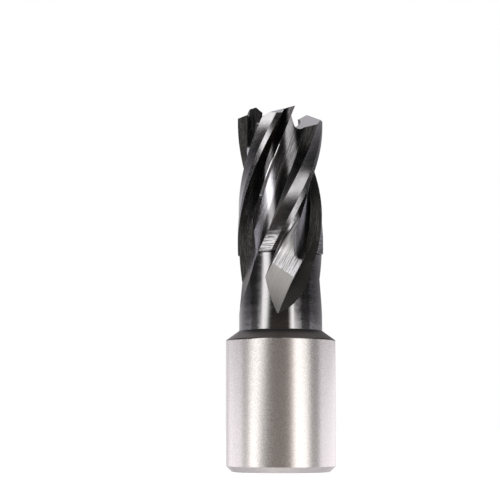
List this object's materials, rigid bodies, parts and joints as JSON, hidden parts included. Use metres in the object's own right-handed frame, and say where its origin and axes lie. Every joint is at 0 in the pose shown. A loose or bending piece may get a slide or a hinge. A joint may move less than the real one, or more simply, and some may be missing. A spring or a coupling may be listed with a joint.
{
  "type": "annular cutter",
  "caption": "Hollow end-cutting drill with stepped helical flutes and ground tooth ends on a plain round shank with clamping flats.",
  "frame": {"origin": "centre of the shank's end face", "axes": "+Z along the cutter's axis from the shank to the teeth; -Y is the front, and the two clamping flats are at the back, 30 degrees to the right and 60 degrees to the left of +Y"},
  "size_m": [0.019, 0.019, 0.0635],
  "materials": {
    "ground_steel": "ground high-speed steel"
  },
  "bodies": {
    "root": {"annular_cutter": "ground_steel"}
  },
  "joints": []
}
